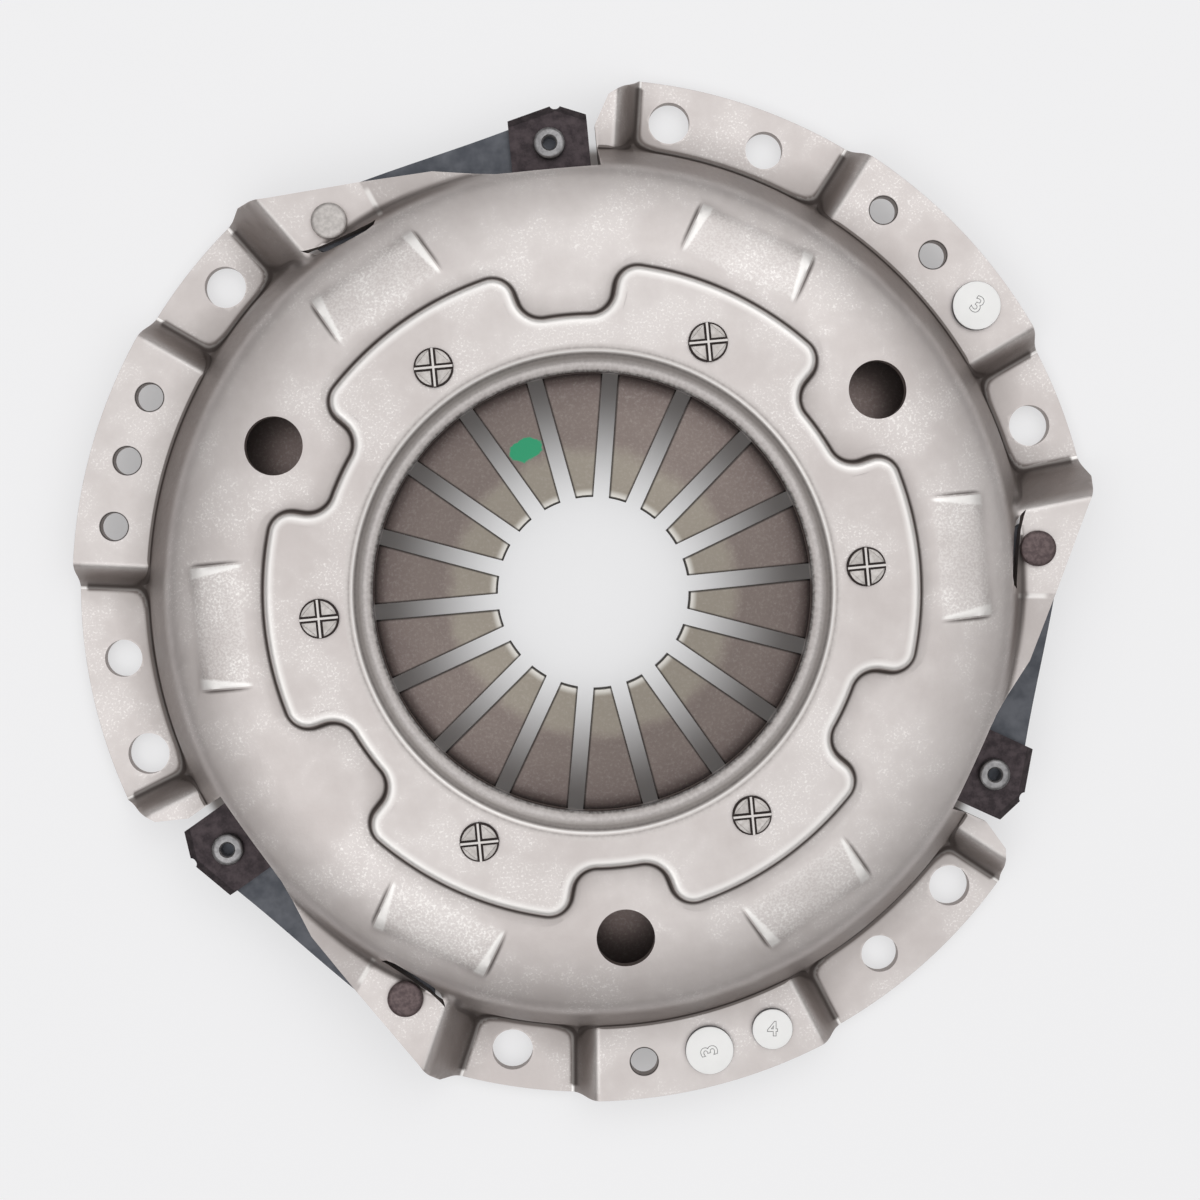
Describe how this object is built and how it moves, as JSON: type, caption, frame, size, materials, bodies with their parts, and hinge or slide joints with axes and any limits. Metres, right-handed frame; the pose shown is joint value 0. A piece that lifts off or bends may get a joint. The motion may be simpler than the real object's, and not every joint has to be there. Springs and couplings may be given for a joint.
{
  "type": "clutch pressure plate",
  "caption": "Pressed steel clutch cover holding a slotted diaphragm spring and a cast pressure plate on leaf straps.",
  "frame": {"origin": "centre of the bolt circle on the flywheel face, where the cover's seats bear", "axes": "+Z along the crankshaft axis from the flywheel towards the gearbox; +X through one strap boss"},
  "size_m": [0.2182, 0.2172, 0.0347],
  "materials": {
    "cover_steel": "satin pressed steel",
    "spring_steel": "shot-peened spring steel",
    "wire_steel": "drawn wire",
    "rivet_steel": "satin",
    "dark_rivet": "dark oxide",
    "lug_rivet_steel": "bright rim",
    "plate_iron": "cast with ground face",
    "strap_steel": "blued",
    "retainer_steel": "dark oxide",
    "balance_white": "matt white"
  },
  "bodies": {
    "cover_assembly": {"cover": "cover_steel", "diaphragm_spring": "spring_steel", "upper_fulcrum_ring": "wire_steel", "lower_fulcrum_ring": "wire_steel", "pivot_rivet_1": "rivet_steel", "pivot_rivet_2": "rivet_steel", "pivot_rivet_3": "rivet_steel", "pivot_rivet_4": "rivet_steel", "pivot_rivet_5": "rivet_steel", "pivot_rivet_6": "rivet_steel", "drive_strap_1_upper": "strap_steel", "drive_strap_1_lower": "strap_steel", "cover_strap_rivet_1": "dark_rivet", "balance_rivet_1": "balance_white", "drive_strap_2_upper": "strap_steel", "drive_strap_2_lower": "strap_steel", "cover_strap_rivet_2": "dark_rivet", "balance_rivet_2": "balance_white", "drive_strap_3_upper": "strap_steel", "drive_strap_3_lower": "strap_steel", "cover_strap_rivet_3": "dark_rivet", "balance_rivet_3": "balance_white"},
    "plate_assembly": {"pressure_plate": "plate_iron", "lug_rivet_1": "lug_rivet_steel", "lug_retainer_1": "retainer_steel", "lug_rivet_2": "lug_rivet_steel", "lug_retainer_2": "retainer_steel", "lug_rivet_3": "lug_rivet_steel", "lug_retainer_3": "retainer_steel"}
  },
  "joints": [
    {"name": "plate_lift", "type": "slide", "parent": "cover_assembly", "child": "plate_assembly", "axis": [0, 0, 1], "range_m": [0, 0.0038], "stiffness_N_per_m": 20000, "deforming": ["diaphragm_spring", "drive_strap_1_upper", "drive_strap_1_lower", "drive_strap_2_upper", "drive_strap_2_lower", "drive_strap_3_upper", "drive_strap_3_lower"]}
  ]
}
